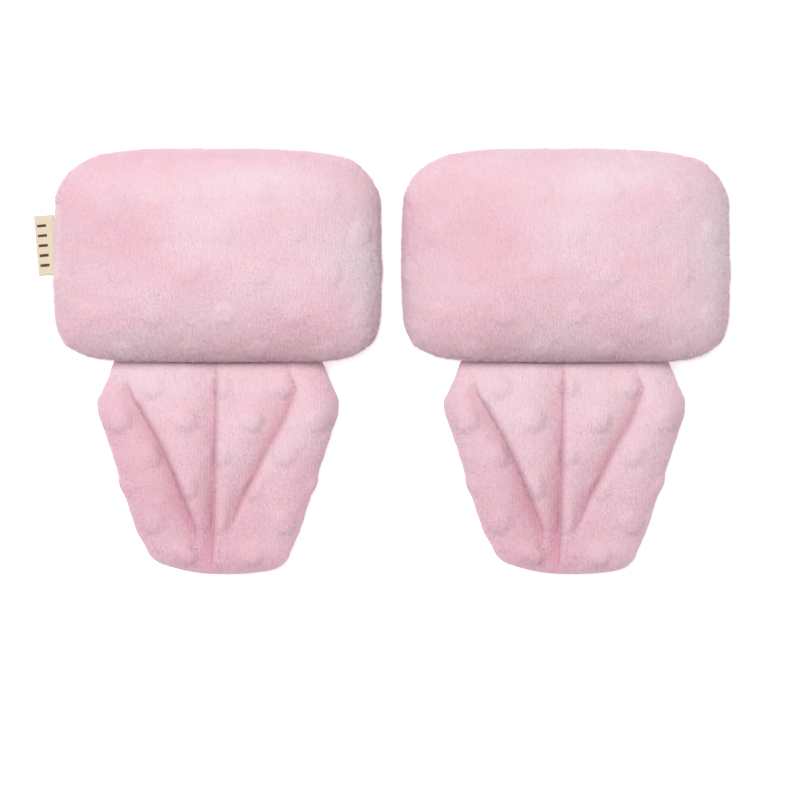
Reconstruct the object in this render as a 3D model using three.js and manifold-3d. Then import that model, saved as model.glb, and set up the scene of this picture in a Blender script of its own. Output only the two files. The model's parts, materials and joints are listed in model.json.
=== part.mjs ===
// A pair of plush wrist supports. Each is a stuffed pillow sewn to a padded cuff that opens like a book cover
// along one slanted side and closes along the other with hook and loop tape. The two lie side by side, cuffs
// towards -Y. Millimetres, +Z up, the table at z = 0, origin at the middle of the pair's footprint.
import * as THREE from "three";
import { mergeVertices } from "three/addons/utils/BufferGeometryUtils.js";
import Module from "manifold-3d";

const wasm = await Module();
wasm.setup();

// ---- Driving dimensions ----
const PITCH = 139.2; // centre to centre of the two supports
const GAP = 0.3; // air between neighbouring layers
const PLUSH = 1.4; // plush cover fabric, pile included
const LINING = 0.6; // smooth lining cloth

const PILLOW = {
  width: 131,
  depth: 84,
  seamHeight: 22, // the seam between the two covers, above the table
  frontRise: 22, // seam to the top of the front cover
  backDrop: 26, // unloaded depth of the back cover, which the table flattens
  headCorner: 4.3, // superellipse power of the two corners away from the cuff
  cuffCorner: 6.3, // and of the two corners at the cuff
  crown: 2.6, // power of the thickness profile
};
const PILLOW_RINGS = 7;
const PILLOW_SEGMENTS = 28;

// Half of the cuff's outline, from the pillow to the narrow end, as [x, y]. The pillow's edge is at y = 0.
const CUFF_SIDE = [
  [42.5, -1.9],
  [48.4, -18],
  [26.3, -86.4],
];
const CUFF_CORNER_RADII = [3, 5, 10]; // at those three points
const CORNER_STEPS = 4;

// Layers of the cuff, as heights above the table.
const BACK_TOP = 5.2; // rim of the back cover's tray
const BACK_LINING = BACK_TOP + GAP;
const SLEEVE_FLOOR = BACK_LINING + LINING;
const SLEEVE_HEIGHT = 5.2; // clear height between the two linings
const SLEEVE_ROOF = SLEEVE_FLOOR + SLEEVE_HEIGHT;
const FRONT_BOTTOM = SLEEVE_ROOF + LINING + GAP; // rim of the front cover
const FRONT_TOP = 20.4; // top of the front cover
const EDGE_ROUND = 5; // rounding of the front cover's upper edge
const EDGE_STEPS = 3;
const BASE_ROUND = 1.5; // bevel of the back cover's lower edge

const TAPE = { width: 13, thickness: (SLEEVE_HEIGHT - 3 * GAP) / 2, edgeMargin: 3.5, length: 52, middleY: -49 };

// The three pleats of the front panel, each from the pillow end through a bend to its foot, as [x, y].
const PLEATS = [
  [[-38.5, 2], [-34.5, -15], [-1.2, -78]],
  [[-1.2, 2], [-1.2, -45], [-1.2, -92]],
  [[26, 2], [31.9, -13.6], [-1.2, -81.6]],
];
const PLEAT_WIDTH = 1; // the groove in the cover, and the gap between two wadding wedges
const PLEAT_DEPTH = 0.8;

const HINGE_HEIGHT = 10.5; // the fold line of the cuff, above the table
const HINGE_OFFSET = 0.8; // and how far it lies outside the panels' edge
const FOLD = { cloth: 0.8, length: 58 };
const NECK = { width: 80, thickness: 0.7, y: -1.2, bottom: 1, top: 20.5 };
const LABEL = { length: 24, reach: 8.4, cloth: 0.5, slot: 0.3, y: 45.6, turn: 5, gap: 1.3 };

// ---- Materials ----
const finish = (color, roughness, metalness = 0) => new THREE.MeshStandardMaterial({ color, roughness, metalness });
const MATERIALS = {
  plush: finish(0xefc3d3, 0.95),
  lining: finish(0xf1d6de, 0.7),
  wadding: finish(0xf6f4f0, 0.98),
  hook: finish(0xf3e9ec, 0.6),
  loop: finish(0xf2dfe5, 0.95),
  label: finish(0xd8ccb2, 0.85),
};

// ---- Solid helpers ----
// Closes a stack of rings into one surface. The first and last entries are single points, and the rings
// run counter-clockwise seen from above, so a stack that rises has its faces outwards.
function loft(rings) {
  const positions = [];
  const index = [];
  const starts = rings.map((ring) => {
    const start = positions.length / 3;
    ring.forEach((point) => positions.push(point.x, point.y, point.z));
    return start;
  });
  for (let level = 0; level + 1 < rings.length; level++) {
    const [low, high] = [rings[level].length, rings[level + 1].length];
    const count = Math.max(low, high);
    for (let step = 0; step < count; step++) {
      const next = (step + 1) % count;
      const [a, b] = [starts[level], starts[level + 1]];
      if (low > 1) index.push(a + step, a + next, b + (high > 1 ? next : 0));
      if (high > 1) index.push(a + (low > 1 ? step : 0), b + next, b + step);
    }
  }
  return new THREE.BufferGeometry()
    .setAttribute("position", new THREE.Float32BufferAttribute(positions, 3))
    .setIndex(index);
}

function toSolid(geometry) {
  const bare = geometry.clone();
  bare.deleteAttribute("normal");
  bare.deleteAttribute("uv");
  const merged = mergeVertices(bare, 1e-3);
  return new wasm.Manifold(
    new wasm.Mesh({
      numProp: 3,
      vertProperties: merged.attributes.position.array,
      triVerts: new Uint32Array(merged.index.array),
    }),
  );
}

function toGeometry(solid) {
  const mesh = solid.getMesh();
  return new THREE.BufferGeometry()
    .setAttribute("position", new THREE.BufferAttribute(mesh.vertProperties, 3))
    .setIndex(new THREE.BufferAttribute(mesh.triVerts, 1));
}

const cut = (geometry, tools) =>
  toGeometry(tools.reduce((solid, tool) => solid.subtract(toSolid(tool)), toSolid(geometry)));

// An upright wall of a given thickness from one plan point to another.
function wallBetween([x0, y0], [x1, y1], thickness, bottom, top) {
  const length = Math.hypot(x1 - x0, y1 - y0);
  return new THREE.BoxGeometry(length, thickness, top - bottom)
    .rotateZ(Math.atan2(y1 - y0, x1 - x0))
    .translate((x0 + x1) / 2, (y0 + y1) / 2, (bottom + top) / 2);
}

// ---- Pillow ----
const signedPower = (value, power) => Math.sign(value) * Math.abs(value) ** power;
const crownAt = (reach) => Math.sqrt(1 - reach ** PILLOW.crown);
const reaches = Array.from({ length: PILLOW_RINGS + 1 }, (_, k) => Math.sin((Math.PI / 2) * (k / PILLOW_RINGS)));

// One ring of the pillow at a share of its half size, inset from its outside, at a height.
function pillowRing(reach, inset, z) {
  if (reach === 0) return [new THREE.Vector3(0, PILLOW.depth / 2, z)];
  return Array.from({ length: PILLOW_SEGMENTS }, (_, step) => {
    const angle = (2 * Math.PI * step) / PILLOW_SEGMENTS;
    const power = 2 / (Math.sin(angle) > 0 ? PILLOW.headCorner : PILLOW.cuffCorner);
    const x = (PILLOW.width / 2 - inset) * reach * signedPower(Math.cos(angle), power);
    const y = (PILLOW.depth / 2 - inset) * reach * signedPower(Math.sin(angle), power);
    return new THREE.Vector3(x, PILLOW.depth / 2 + y, z);
  });
}

const frontRings = (inset, lift = 0) =>
  reaches.map((reach) =>
    pillowRing(reach, inset, PILLOW.seamHeight + lift + (PILLOW.frontRise - inset - lift) * crownAt(reach)),
  );
const backRings = (inset, drop = 0) =>
  reaches.map((reach) => {
    const depth = drop + (PILLOW.backDrop - inset - drop) * crownAt(reach);
    return pillowRing(reach, inset, Math.max(inset, PILLOW.seamHeight - depth));
  });

const pillowFrontCover = () => loft([...frontRings(PLUSH, GAP / 2), ...frontRings(0, GAP / 2).reverse()]);
const pillowBackCover = () => loft([...backRings(0, GAP / 2), ...backRings(PLUSH, GAP / 2).reverse()]);
const pillowFilling = () =>
  loft([...backRings(PLUSH + 2 * GAP), ...frontRings(PLUSH + 2 * GAP).reverse().slice(1)]);

// A ribbon folded in two, its open ends towards the pillow's side seam.
function sideLabel() {
  const half = LABEL.cloth + LABEL.slot / 2;
  const shape = new THREE.Shape();
  shape.moveTo(0, LABEL.slot / 2);
  shape.lineTo(0, half);
  shape.lineTo(-LABEL.reach + half, half);
  shape.absarc(-LABEL.reach + half, 0, half, Math.PI / 2, (3 * Math.PI) / 2, false);
  shape.lineTo(0, -half);
  shape.lineTo(0, -LABEL.slot / 2);
  shape.lineTo(-LABEL.reach + half, -LABEL.slot / 2);
  shape.lineTo(-LABEL.reach + half, LABEL.slot / 2);
  return new THREE.ExtrudeGeometry(shape, { depth: LABEL.length, bevelEnabled: false, curveSegments: 4 })
    .translate(0, 0, -LABEL.length / 2)
    .rotateX(Math.PI / 2)
    .rotateZ(THREE.MathUtils.degToRad(LABEL.turn));
}

// ---- Cuff ----
const cuffCorners = [...CUFF_SIDE.toReversed(), ...CUFF_SIDE.map(([x, y]) => [-x, y])].map(
  ([x, y]) => new THREE.Vector2(x, y),
);
const cuffRadii = [...CUFF_CORNER_RADII.toReversed(), ...CUFF_CORNER_RADII];
const cuffMiddle = new THREE.Vector2(0, -40);

// The corner where two neighbouring sides meet once both have moved inwards.
function insetCorner(before, corner, after, inset) {
  const along = corner.clone().sub(before).normalize();
  const onward = after.clone().sub(corner).normalize();
  const turn = along.angleTo(onward);
  const inwards = new THREE.Vector2(-along.y - onward.y, along.x + onward.x).normalize();
  return corner.clone().addScaledVector(inwards, inset / Math.cos(turn / 2));
}

// The cuff's outline moved inwards, its corners rounded, as a ring at a height.
function cuffRing(inset, z) {
  const count = cuffCorners.length;
  const corners = cuffCorners.map((corner, i) =>
    insetCorner(cuffCorners[(i + count - 1) % count], corner, cuffCorners[(i + 1) % count], inset),
  );
  return corners.flatMap((corner, i) => {
    const before = corners[(i + count - 1) % count].clone().sub(corner).normalize();
    const after = corners[(i + 1) % count].clone().sub(corner).normalize();
    const radius = Math.max(1, cuffRadii[i] - inset / 2);
    const bend = new THREE.QuadraticBezierCurve(
      corner.clone().addScaledVector(before, radius),
      corner,
      corner.clone().addScaledVector(after, radius),
    );
    return bend.getPoints(CORNER_STEPS - 1).map(({ x, y }) => new THREE.Vector3(x, y, z));
  });
}
const cuffPole = (z) => [new THREE.Vector3(cuffMiddle.x, cuffMiddle.y, z)];
const cuffSlab = (inset, bottom, top) =>
  loft([cuffPole(bottom), cuffRing(inset, bottom), cuffRing(inset, top), cuffPole(top)]);

const cuffBackCover = () =>
  loft([
    cuffPole(0),
    cuffRing(BASE_ROUND, 0),
    cuffRing(0, BASE_ROUND),
    cuffRing(0, BACK_TOP),
    cuffRing(PLUSH, BACK_TOP),
    cuffRing(PLUSH, PLUSH),
    cuffPole(PLUSH),
  ]);
const cuffBackPadding = () => cuffSlab(PLUSH + GAP, PLUSH + GAP, BACK_TOP);
const cuffBackLining = () => cuffSlab(0, BACK_LINING, SLEEVE_FLOOR);
const cuffFrontLining = () => cuffSlab(0, SLEEVE_ROOF, SLEEVE_ROOF + LINING);

const pleatWalls = (bottom, top) =>
  PLEATS.flatMap(([head, bend, foot]) => [
    wallBetween(head, bend, PLEAT_WIDTH, bottom, top),
    wallBetween(bend, foot, PLEAT_WIDTH, bottom, top),
  ]);

function cuffFrontCover() {
  const roundedEdge = Array.from({ length: EDGE_STEPS + 1 }, (_, k) => {
    const angle = (Math.PI / 2) * (k / EDGE_STEPS);
    return cuffRing(EDGE_ROUND * (1 - Math.cos(angle)), FRONT_TOP - EDGE_ROUND * (1 - Math.sin(angle)));
  });
  const shell = loft([
    cuffPole(FRONT_TOP - PLUSH),
    cuffRing(EDGE_ROUND, FRONT_TOP - PLUSH),
    cuffRing(PLUSH, FRONT_TOP - EDGE_ROUND),
    cuffRing(PLUSH, FRONT_BOTTOM),
    cuffRing(0, FRONT_BOTTOM),
    ...roundedEdge,
    cuffPole(FRONT_TOP),
  ]);
  return cut(shell, pleatWalls(FRONT_TOP - PLEAT_DEPTH, FRONT_TOP + 1));
}

// The front wadding, parted along the pleats into wedges, from -X to +X.
function cuffFrontPadding() {
  const top = FRONT_TOP - PLUSH - GAP;
  const block = loft([
    cuffPole(FRONT_BOTTOM),
    cuffRing(PLUSH + GAP, FRONT_BOTTOM),
    cuffRing(PLUSH + GAP, FRONT_TOP - EDGE_ROUND - GAP),
    cuffRing(EDGE_ROUND + GAP, top),
    cuffPole(top),
  ]);
  const middle = (solid) => {
    const { min, max } = solid.boundingBox();
    return min[0] + max[0];
  };
  return toSolid(cut(block, pleatWalls(FRONT_BOTTOM - 1, top + 1)))
    .decompose()
    .sort((a, b) => middle(a) - middle(b))
    .map(toGeometry);
}

// The long slanted side of the cuff on one side (-1 or 1), moved inwards, from its wide to its narrow end.
function slantedSide(side, inset) {
  const [wide, narrow] = [CUFF_SIDE[1], CUFF_SIDE[2]].map(([x, y]) => new THREE.Vector2(side * x, y));
  const along = narrow.clone().sub(wide).normalize();
  const inwards = new THREE.Vector2(-side * Math.abs(along.y), Math.abs(along.x));
  return { from: wide.addScaledVector(inwards, inset), to: narrow.addScaledVector(inwards, inset), along };
}

// A strip along the slanted side, centred on one row across the cuff.
function sideStrip(side, inset, width, length, middleY, bottom, top) {
  const { from, along } = slantedSide(side, inset);
  const middle = from.addScaledVector(along, (middleY - from.y) / along.y);
  const start = middle.clone().addScaledVector(along, -length / 2);
  const end = middle.clone().addScaledVector(along, length / 2);
  return wallBetween(start.toArray(), end.toArray(), width, bottom, top);
}

function closingTape(side, bottom) {
  const inset = TAPE.edgeMargin + TAPE.width / 2;
  return sideStrip(side, inset, TAPE.width, TAPE.length, TAPE.middleY, bottom, bottom + TAPE.thickness);
}

const cuffSideFold = (side) =>
  sideStrip(side, -HINGE_OFFSET, FOLD.cloth, FOLD.length, TAPE.middleY, GAP, HINGE_HEIGHT - GAP);

const cuffNeck = () =>
  new THREE.BoxGeometry(NECK.width, NECK.thickness, NECK.top - NECK.bottom).translate(
    0,
    NECK.y,
    (NECK.top + NECK.bottom) / 2,
  );

// ---- Assembly ----
// One support. hingeSide is the side on which its cuff folds open: -1 for -X, 1 for +X.
function support(name, hingeSide) {
  const group = new THREE.Group();
  const add = (part, geometry, material) => {
    const mesh = new THREE.Mesh(geometry, material);
    mesh.name = `${name}_${part}`;
    group.add(mesh);
    return mesh;
  };
  add("pillow_front_cover", pillowFrontCover(), MATERIALS.plush);
  add("pillow_back_cover", pillowBackCover(), MATERIALS.plush);
  add("pillow_filling", pillowFilling(), MATERIALS.wadding);
  add("neck_strip", cuffNeck(), MATERIALS.plush);
  add("cuff_back_cover", cuffBackCover(), MATERIALS.plush);
  add("cuff_back_padding", cuffBackPadding(), MATERIALS.wadding);
  add("cuff_back_lining", cuffBackLining(), MATERIALS.lining);
  add("cuff_loop_tape", closingTape(-hingeSide, SLEEVE_FLOOR + GAP), MATERIALS.loop);
  add("cuff_hook_tape", closingTape(-hingeSide, SLEEVE_ROOF - GAP - TAPE.thickness), MATERIALS.hook);
  add("cuff_front_lining", cuffFrontLining(), MATERIALS.lining);
  cuffFrontPadding().forEach((wedge, i) => add(`cuff_front_padding_${i + 1}`, wedge, MATERIALS.wadding));
  add("cuff_front_cover", cuffFrontCover(), MATERIALS.plush);
  add("cuff_side_fold", cuffSideFold(hingeSide), MATERIALS.plush);
  return { group, add };
}

const left = support("left", -1);
left.group.position.x = -PITCH / 2;
const label = left.add("side_label", sideLabel(), MATERIALS.label);
label.position.set(-PILLOW.width / 2 - LABEL.gap, LABEL.y, PILLOW.seamHeight);

const right = support("right", 1);
right.group.position.x = PITCH / 2;

const pair = new THREE.Group();
pair.add(left.group, right.group);

// The origin goes to the middle of the footprint, label included.
const middle = new THREE.Box3().setFromObject(pair).getCenter(new THREE.Vector3());
pair.position.set(-middle.x, -middle.y, 0);

export default pair;
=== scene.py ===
import json
import math

import bpy
import numpy as np
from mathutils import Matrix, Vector, noise


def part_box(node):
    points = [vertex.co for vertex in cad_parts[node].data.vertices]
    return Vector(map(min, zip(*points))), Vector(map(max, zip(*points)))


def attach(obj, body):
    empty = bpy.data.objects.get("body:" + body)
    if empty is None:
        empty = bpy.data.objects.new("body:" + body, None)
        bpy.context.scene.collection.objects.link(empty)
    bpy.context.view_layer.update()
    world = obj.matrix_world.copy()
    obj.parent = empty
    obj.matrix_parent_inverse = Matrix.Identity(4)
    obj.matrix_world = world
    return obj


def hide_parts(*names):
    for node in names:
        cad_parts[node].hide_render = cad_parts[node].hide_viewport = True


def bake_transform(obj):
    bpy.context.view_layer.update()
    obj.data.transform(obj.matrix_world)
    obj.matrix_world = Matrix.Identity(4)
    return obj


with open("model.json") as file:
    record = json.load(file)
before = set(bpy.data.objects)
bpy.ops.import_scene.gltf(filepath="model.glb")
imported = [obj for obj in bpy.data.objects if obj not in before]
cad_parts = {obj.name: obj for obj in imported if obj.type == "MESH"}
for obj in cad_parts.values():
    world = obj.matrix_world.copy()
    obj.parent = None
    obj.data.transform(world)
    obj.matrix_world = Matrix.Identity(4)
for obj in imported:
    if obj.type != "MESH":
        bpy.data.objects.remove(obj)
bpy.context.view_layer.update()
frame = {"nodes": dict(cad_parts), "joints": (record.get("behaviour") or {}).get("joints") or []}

MM = 0.001


# ---- What the frame says ----
def box_of(node):
    """A CAD node's lowest and highest corner, in millimetres in the frame."""
    low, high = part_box(node)
    return np.array(low) / MM, np.array(high) / MM


def vertices_of(node):
    """A CAD node's points, in metres in the frame."""
    return np.array([vertex.co[:] for vertex in frame["nodes"][node].data.vertices])


def support_origin(name):
    """The middle of a pillow's lower seam, on the table, in millimetres in the frame."""
    low, high = box_of(f"{name}_pillow_front_cover")
    return np.array([(low[0] + high[0]) / 2, low[1], 0.0])


def joint_named(name):
    return next(joint for joint in frame["joints"] if joint["name"] == name)


ORIGIN = {name: support_origin(name) for name in ("left", "right")}
PILLOW_LOW, PILLOW_HIGH = (corner - ORIGIN["left"] for corner in box_of("left_pillow_front_cover"))
PANEL_FLOOR = box_of("left_cuff_front_cover")[0][2]  # height of the front panel's underside
BACK_TOP = box_of("left_cuff_back_cover")[1][2]
SEAM_HEIGHT = joint_named("left_pillow_tilt")["pos_m"][2] / MM
HINGE_HEIGHT = joint_named("left_cuff_opening")["pos_m"][2] / MM

# ---- Driving dimensions ----
PILLOW_HALF_WIDTH = (PILLOW_HIGH[0] - PILLOW_LOW[0]) / 2
PILLOW_HALF_DEPTH = (PILLOW_HIGH[1] - PILLOW_LOW[1]) / 2
PILLOW_RISE = PILLOW_HIGH[2] - SEAM_HEIGHT
PILLOW_DROP = 26.0  # unloaded depth of the back, which the table flattens
HEAD_CORNER = 4.3  # superellipse power of the corners away from the cuff
CUFF_CORNER = 6.3  # and of those at the cuff
CROWN = 2.6  # power of the thickness profile
PLUSH = 1.3  # thickness of the plush cloth

CUFF_SIDE = [(3.0, 39.4), (-18.2, 48.9), (-86.4, 26.9)]  # (y, half width) down the cuff
CUFF_TOP = -1.6  # where the cuff begins under the pillow
CUFF_END = CUFF_SIDE[-1][0]
END_ROUND = 4.6  # radius of the cuff's two end corners
TOP_LIFT = 0.9  # how far its top corners rise towards the pillow
END_ARCH = 4.4  # how much further the middle of its end hangs than the corners

# The three pleats' creases as (y, x), and the one soft fold above the right pleat.
LEFT_PLEAT = [(-2.2, -37.5), (-13, -36), (-17, -33), (-32.4, -24.2), (-45.2, -18.2), (-69.6, -9),
              (-86.4, -9.5)]
CENTRE_SEAM = [(-2.2, -0.8), (-35, -1.3), (-68, -2.1), (-81, -3), (-86.4, -3.2)]
RIGHT_PLEAT = [(-2.2, 27), (-12.5, 31.6), (-16, 29.4), (-25.6, 25.8), (-36.4, 19.4), (-48.4, 13.8),
               (-55.2, 9.8), (-62.8, 6.8), (-68, 5.4), (-86.4, 5.2)]
CREASES = [LEFT_PLEAT, CENTRE_SEAM, RIGHT_PLEAT]
# How deep each crease is, as (y, millimetres).
CREASE_DEPTHS = [
    [(-9, 0), (-15, 2.3), (-30, 2.6), (-60, 3.2), (-70, 2.2), (-77, 0)],
    [(-2.2, 0.8), (-8, 2.6), (-40, 3.4), (-75, 3.4), (-86.4, 2.2)],
    [(-2.2, 0.8), (-10, 1.2), (-16, 2.8), (-40, 3.5), (-60, 3.1), (-70, 0)],
]

PILLOW_DOTS = {"pitch": (28.0, 16.4), "start": (3.4, -24.5), "radius": 6.2, "height": 0.55}
CUFF_DOTS = {"pitch": (26.5, 13.6), "start": (-13.0, -24.6), "radius": 6.0, "height": 1.15}


# ---- Mesh helpers ----
def place(points, name):
    """Millimetres in a support's plane to metres in the frame."""
    return (np.asarray(points) + ORIGIN[name]) * MM


def make_object(name, points, faces, material, uv=None, painted_shading=None, smooth=True, edges=()):
    """A mesh object at the origin from points in metres. uv and the painted shading are given for each point.
    """
    mesh = bpy.data.meshes.new(name)
    mesh.from_pydata(np.asarray(points).tolist(), edges, [list(map(int, face)) for face in faces])
    mesh.polygons.foreach_set("use_smooth", [smooth] * len(mesh.polygons))
    if uv is not None:
        corner = np.zeros(len(mesh.loops), np.int32)
        mesh.loops.foreach_get("vertex_index", corner)
        mesh.uv_layers.new(name="cloth").data.foreach_set("uv", np.asarray(uv, np.float32)[corner].ravel())
    if painted_shading is not None:
        mesh.attributes.new("painted_shading", "FLOAT", "POINT").data.foreach_set("value", np.asarray(painted_shading, np.float32))
    mesh.materials.append(material)
    mesh.update()
    piece = bpy.data.objects.new(name, mesh)
    bpy.context.scene.collection.objects.link(piece)
    return piece


def grid_faces(rows, cols):
    """Quads of a grid of points stored row by row."""
    row, col = np.meshgrid(np.arange(rows - 1), np.arange(cols - 1), indexing="ij")
    first = (row * cols + col).ravel()
    return np.stack([first, first + 1, first + cols + 1, first + cols], axis=1)


def rim_of(rows, cols):
    """The boundary points of such a grid, in order round it, in the direction of its quads."""
    low = np.arange(cols)
    right = np.arange(1, rows) * cols + cols - 1
    top = (rows - 1) * cols + np.arange(cols - 2, -1, -1)
    left = np.arange(rows - 2, 0, -1) * cols
    return np.concatenate([low, right, top, left])


def ring_faces(first, second):
    """Quads between two closed loops of point numbers."""
    return np.stack([first, second, np.roll(second, -1), np.roll(first, -1)], axis=1)


def finish_shell(piece, thickness, offset=-1.0):
    """Gives an open surface a wall and applies it, so that the piece is one closed solid."""
    wall = piece.modifiers.new("wall", "SOLIDIFY")
    wall.thickness = thickness * MM
    wall.offset = offset
    wall.use_quality_normals = True
    return apply_modifiers(piece)


def apply_modifiers(piece):
    """Replaces a piece's mesh with what its modifiers make of it."""
    graph = bpy.context.evaluated_depsgraph_get()
    made = bpy.data.meshes.new_from_object(piece.evaluated_get(graph))
    piece.modifiers.clear()
    piece.data = made
    return piece


def smooth_step(value, low, high):
    share = np.clip((value - low) / (high - low), 0, 1)
    return share * share * (3 - 2 * share)


def noise_at(points, size, seed):
    """Smooth noise from about -1 to 1 at each of a grid of points, with lumps of a size in millimetres."""
    shifted = points.reshape(-1, 3) / size + seed * 7.31
    values = [noise.noise(Vector(point)) for point in shifted.tolist()]
    return np.array(values).reshape(points.shape[:-1])


def fit_piece(piece, body, node=None):
    """Puts a piece on its body and hides the CAD node that it stands for."""
    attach(piece, body)
    if node:
        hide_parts(node)


def eased(count, ease=0.6):
    """Even steps from 0 to 1 that close up towards both ends."""
    even = np.linspace(0, 1, count)
    return even - ease / (2 * math.pi) * np.sin(2 * math.pi * even)


def dot_pattern(u, v, dots):
    """1 on top of each raised dot and 0 between them, for a staggered lattice."""
    across, along = dots["pitch"]
    nearest = np.full(np.shape(u), 1e9)
    for shift in (0.0, 0.5):
        du = (u - dots["start"][0]) / across + shift
        dv = (v - dots["start"][1]) / (2 * along) + shift
        distance = np.hypot((du - np.round(du)) * across, (dv - np.round(dv)) * 2 * along)
        nearest = np.minimum(nearest, distance)
    return 1 - smooth_step(nearest, 0.35 * dots["radius"], dots["radius"])


def normals_of(surface):
    """Outward normals of a grid of points, rows by columns by 3."""
    across = np.gradient(surface, axis=1)
    along = np.gradient(surface, axis=0)
    normal = np.cross(across, along)
    return normal / np.maximum(np.linalg.norm(normal, axis=2, keepdims=True), 1e-9)


# ---- Materials ----
def new_material(name):
    material = bpy.data.materials.new(name)
    material.use_nodes = True
    return material, material.node_tree, material.node_tree.nodes["Principled BSDF"]


def set_node(tree, node, **settings):
    """Sets or links a node's sockets, named with underscores for spaces, or else sets its properties."""
    for key, value in settings.items():
        socket = node.inputs.get(key.replace("_", " "))
        if socket is None:
            setattr(node, key, value)
        elif isinstance(value, bpy.types.NodeSocket):
            tree.links.new(value, socket)
        else:
            socket.default_value = value
    return node


def add_node(tree, kind, **settings):
    return set_node(tree, tree.nodes.new(kind), **settings)


def object_point(tree):
    return add_node(tree, "ShaderNodeTexCoord").outputs["Object"]


def cloth_point(tree):
    """The cloth's own flat coordinates, in metres."""
    return add_node(tree, "ShaderNodeUVMap", uv_map="cloth").outputs["UV"]


def stretched(tree, vector, scale):
    """The point scaled differently along each axis."""
    return add_node(tree, "ShaderNodeMapping", Vector=vector, Scale=scale).outputs["Vector"]


def noise_value(tree, vector, scale, detail=2.0, roughness=0.5):
    node = add_node(tree, "ShaderNodeTexNoise", Vector=vector, Scale=scale, Detail=detail,
                    Roughness=roughness)
    return node.outputs["Fac"]


def ramp(tree, value, stops):
    """A colour ramp through (position, grey or colour) stops."""
    node = add_node(tree, "ShaderNodeValToRGB", Fac=value)
    while len(node.color_ramp.elements) < len(stops):
        node.color_ramp.elements.new(0.5)
    for element, (position, colour) in zip(node.color_ramp.elements, stops):
        element.position = position
        element.color = (*colour, 1) if isinstance(colour, tuple) else (colour, colour, colour, 1)
    return node.outputs["Color"]


def mix_colours(tree, share, first, second):
    node = tree.nodes.new("ShaderNodeMix")
    node.data_type = "RGBA"
    factor, colours = node.inputs[0], node.inputs[6:8]
    for socket, value in zip((factor, *colours), (share, first, second)):
        if isinstance(value, bpy.types.NodeSocket):
            tree.links.new(value, socket)
        else:
            socket.default_value = (*value, 1) if isinstance(value, tuple) else value
    return node.outputs[2]


def clamped(tree, value, sign):
    """A value times a sign, held between 0 and 1."""
    node = add_node(tree, "ShaderNodeMath", operation="MULTIPLY", use_clamp=True)
    tree.links.new(value, node.inputs[0])
    node.inputs[1].default_value = sign
    return node.outputs[0]


def wave(tree, vector, period, distortion, direction="X"):
    """Parallel bands a given number of metres apart."""
    node = add_node(tree, "ShaderNodeTexWave", Vector=vector, Scale=2 * math.pi / (20 * period),
                    Distortion=distortion, Detail=1, bands_direction=direction)
    return node.outputs["Fac"]


def bump(tree, height, strength, distance, normal=None):
    node = add_node(tree, "ShaderNodeBump", Height=height, Strength=strength, Distance=distance)
    if normal is not None:
        tree.links.new(normal, node.inputs["Normal"])
    return node.outputs["Normal"]


# DEEP_PINK tints the random streaks and is also the colour of painted shade; WHITE_PINK is the colour of
# painted light.
PLAIN_PINK = (0.62, 0.405, 0.465)
PALE_PINK = (0.62, 0.465, 0.51)
DEEP_PINK = (0.54, 0.29, 0.36)
WHITE_PINK = (0.62, 0.53, 0.56)


def plush_material(name, gain, ground):
    """Short soft pile on a knitted ground. Its colour shifts with the way the pile lies, and follows each
    point's painted shading: deeper with painted shade above 0, whiter with painted light below."""
    material, tree, shader = new_material(name)
    plain, pale, deep, white = (tuple(gain * value for value in colour)
                                for colour in (PLAIN_PINK, PALE_PINK, DEEP_PINK, WHITE_PINK))
    point = object_point(tree)
    lay = noise_value(tree, stretched(tree, point, (1, 1.5, 1)), 28, 3, 0.55)
    patches = ramp(tree, lay, [(0.36, plain), (0.62, pale)])
    streaks = noise_value(tree, stretched(tree, point, (700, 1500, 700)), 1, 2, 0.6)
    streaked = mix_colours(tree, 0.10, patches, ramp(tree, streaks, [(0.35, deep), (0.7, pale)]))
    # Painted shading on each point: above 0 it deepens the colour as painted shade, below 0 it whitens it as
    # painted light.
    painted_shading = add_node(tree, "ShaderNodeAttribute", attribute_name="painted_shading").outputs["Fac"]
    deeper = mix_colours(tree, clamped(tree, painted_shading, 1), streaked, deep)
    paler = mix_colours(tree, clamped(tree, painted_shading, -1), deeper, white)
    if ground:
        ribs = wave(tree, cloth_point(tree), 0.0013, 1.2)
        tufts = noise_value(tree, point, 1500, 2, 0.65)
        soft = noise_value(tree, stretched(tree, point, (1, 1.6, 1)), 420, 2, 0.5)
        normal = bump(tree, ribs, 0.15, 0.0004)
        normal = bump(tree, soft, 0.35, 0.0008, normal)
        set_node(tree, shader, Normal=bump(tree, tufts, 0.35, 0.0004, normal))
    set_node(tree, shader, Base_Color=paler, Roughness=0.95, Specular_IOR_Level=0.15, Sheen_Weight=0.35,
             Sheen_Roughness=0.45, Sheen_Tint=(1.0, 0.86, 0.90, 1))
    return material


def lining_material():
    """Smooth fine-knitted lining with tiny ribs."""
    material, tree, shader = new_material("lining")
    point = object_point(tree)
    ribs = wave(tree, point, 0.0008, 0.6)
    rows = noise_value(tree, stretched(tree, point, (900, 2600, 900)), 1, 2, 0.5)
    flecks = ramp(tree, rows, [(0.3, (0.55, 0.36, 0.42)), (0.7, (0.66, 0.49, 0.53))])
    shade = mix_colours(tree, 0.25, (0.62, 0.43, 0.48), flecks)
    normal = bump(tree, rows, 0.3, 0.0002, bump(tree, ribs, 0.4, 0.0002))
    set_node(tree, shader, Base_Color=shade, Normal=normal, Roughness=0.72, Sheen_Weight=0.15)
    return material


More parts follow.
